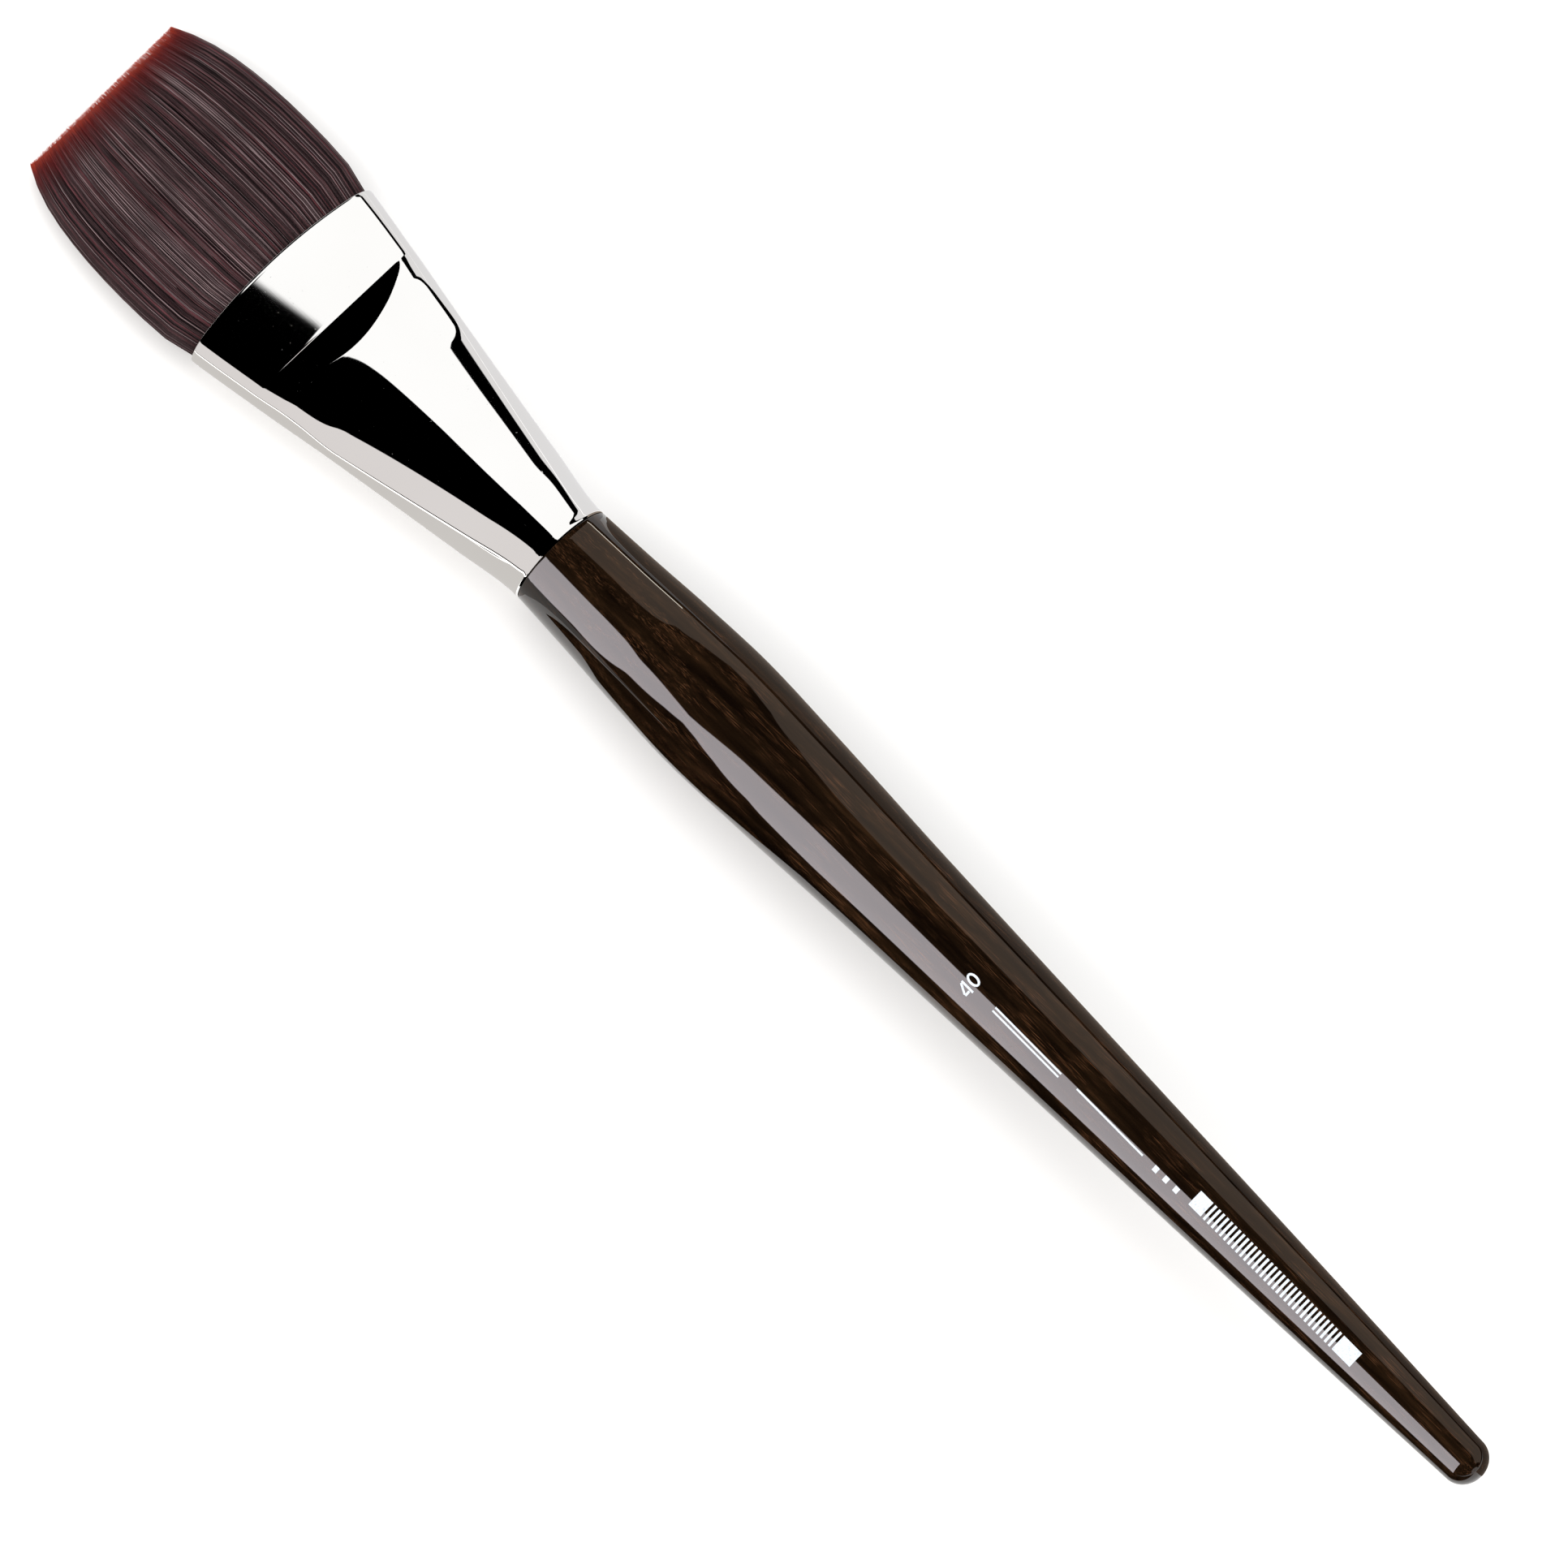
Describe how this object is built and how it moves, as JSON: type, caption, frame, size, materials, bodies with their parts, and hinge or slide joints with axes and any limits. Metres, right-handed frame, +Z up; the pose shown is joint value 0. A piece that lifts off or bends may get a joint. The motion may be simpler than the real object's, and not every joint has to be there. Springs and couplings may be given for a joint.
{
  "type": "paint brush",
  "caption": "Wide flat artist's brush: turned lacquered handle, seamless polished ferrule pressed flat at its mouth, and a springy dark filament tuft with a straight chisel edge.",
  "frame": {"origin": "on the table under the middle of the brush's length, where it lies flat", "axes": "+X along the brush towards the tuft's tip, +Y across its wide side, +Z up from the table"},
  "size_m": [0.275, 0.0364, 0.0227],
  "materials": {
    "lacquered_wood": "gloss",
    "polished_nickel": "polished",
    "filament": "satin",
    "thread": "matte",
    "resin": "gloss",
    "print_ink": "satin"
  },
  "bodies": {
    "brush_body": {"handle": "lacquered_wood", "ferrule": "polished_nickel", "tuft_root": "filament", "binding_thread": "thread", "epoxy_plug": "resin"},
    "tuft": {"tuft": "filament"}
  },
  "joints": [
    {"name": "tuft_flex", "type": "hinge", "parent": "brush_body", "child": "tuft", "pos_m": [0.10451, 0, 0.00494], "axis": [0, 1, 0], "range_deg": [-30, 30], "stiffness_Nm_per_rad": 0.12}
  ]
}
